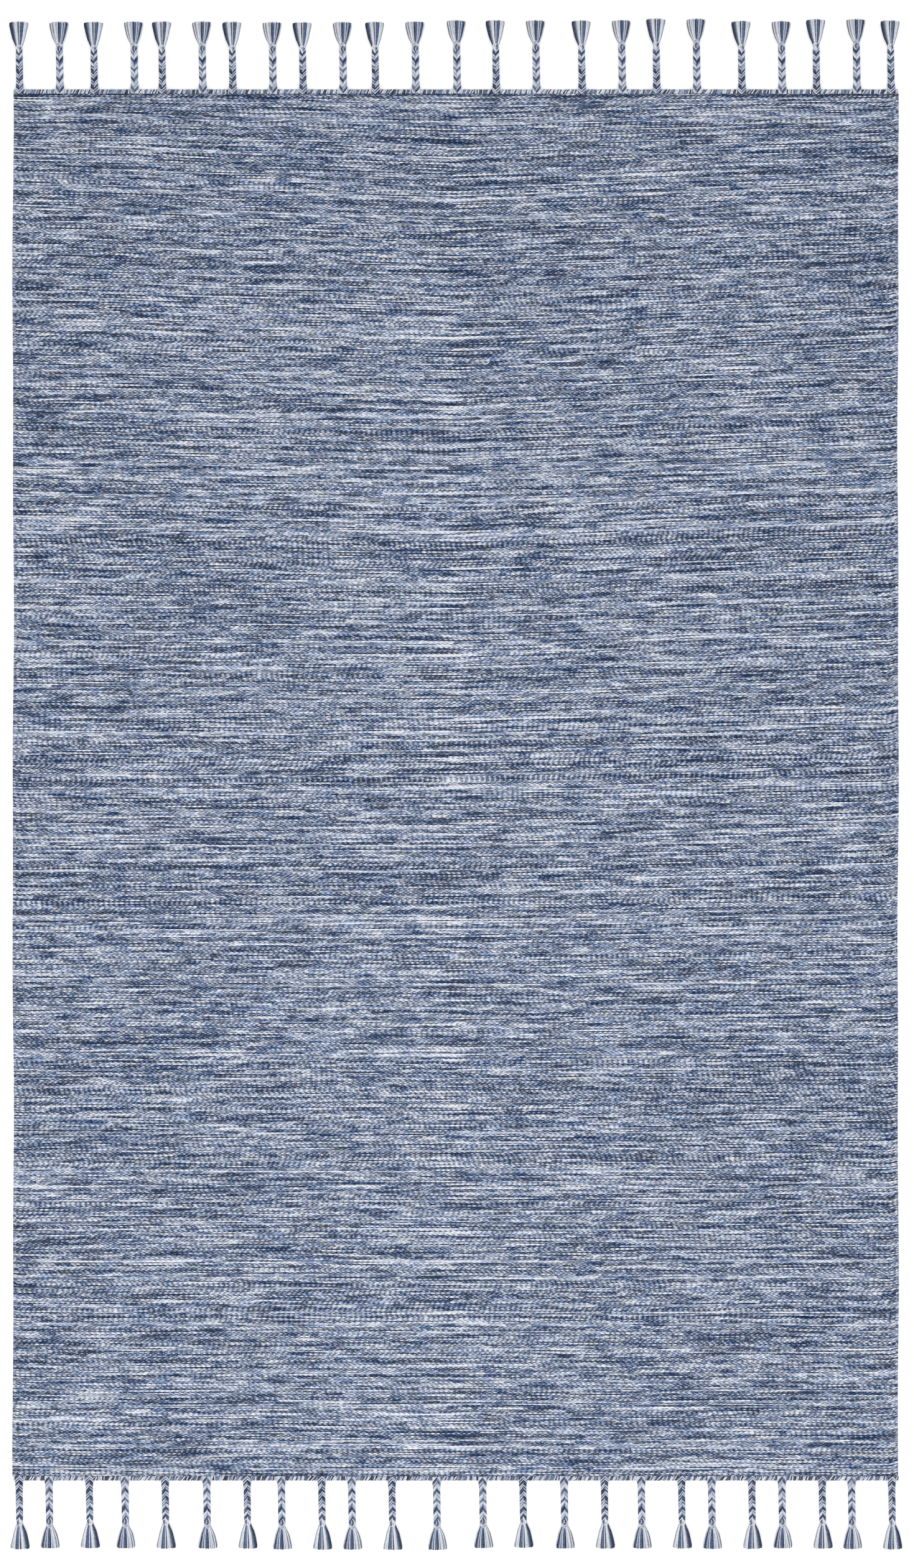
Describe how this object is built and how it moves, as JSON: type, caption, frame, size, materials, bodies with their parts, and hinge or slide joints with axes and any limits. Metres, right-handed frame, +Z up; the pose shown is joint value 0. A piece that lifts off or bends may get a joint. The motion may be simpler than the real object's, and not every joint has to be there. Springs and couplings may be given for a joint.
{
  "type": "dhurrie rug",
  "caption": "Flat-woven cotton dhurrie rug laid flat, with an overcast binding and a row of plaited tassels along each short end.",
  "frame": {"origin": "on the floor under the middle of the whole rug, tassels included", "axes": "+X across the rug, +Y along its length towards the far row of tassels, +Z up from the floor"},
  "size_m": [1.5358, 2.637, 0.0096],
  "materials": {
    "field_weave": "matt space-dyed cotton, weft-faced plain weave",
    "binding_yarn": "matt overcast cotton yarn",
    "tassel_yarn": "matt plied cotton yarn"
  },
  "bodies": {
    "root": {"end_binding_far": "binding_yarn", "end_binding_near": "binding_yarn", "rug_field": "field_weave", "tassel_far_01": "tassel_yarn", "tassel_far_02": "tassel_yarn", "tassel_far_03": "tassel_yarn", "tassel_far_04": "tassel_yarn", "tassel_far_05": "tassel_yarn", "tassel_far_06": "tassel_yarn", "tassel_far_07": "tassel_yarn", "tassel_far_08": "tassel_yarn", "tassel_far_09": "tassel_yarn", "tassel_far_10": "tassel_yarn", "tassel_far_11": "tassel_yarn", "tassel_far_12": "tassel_yarn", "tassel_far_13": "tassel_yarn", "tassel_far_14": "tassel_yarn", "tassel_far_15": "tassel_yarn", "tassel_far_16": "tassel_yarn", "tassel_far_17": "tassel_yarn", "tassel_far_18": "tassel_yarn", "tassel_far_19": "tassel_yarn", "tassel_far_20": "tassel_yarn", "tassel_far_21": "tassel_yarn", "tassel_far_22": "tassel_yarn", "tassel_far_23": "tassel_yarn", "tassel_far_24": "tassel_yarn", "tassel_near_01": "tassel_yarn", "tassel_near_02": "tassel_yarn", "tassel_near_03": "tassel_yarn", "tassel_near_04": "tassel_yarn", "tassel_near_05": "tassel_yarn", "tassel_near_06": "tassel_yarn", "tassel_near_07": "tassel_yarn", "tassel_near_08": "tassel_yarn", "tassel_near_09": "tassel_yarn", "tassel_near_10": "tassel_yarn", "tassel_near_11": "tassel_yarn", "tassel_near_12": "tassel_yarn", "tassel_near_13": "tassel_yarn", "tassel_near_14": "tassel_yarn", "tassel_near_15": "tassel_yarn", "tassel_near_16": "tassel_yarn", "tassel_near_17": "tassel_yarn", "tassel_near_18": "tassel_yarn", "tassel_near_19": "tassel_yarn", "tassel_near_20": "tassel_yarn", "tassel_near_21": "tassel_yarn", "tassel_near_22": "tassel_yarn", "tassel_near_23": "tassel_yarn", "tassel_near_24": "tassel_yarn"}
  },
  "joints": []
}
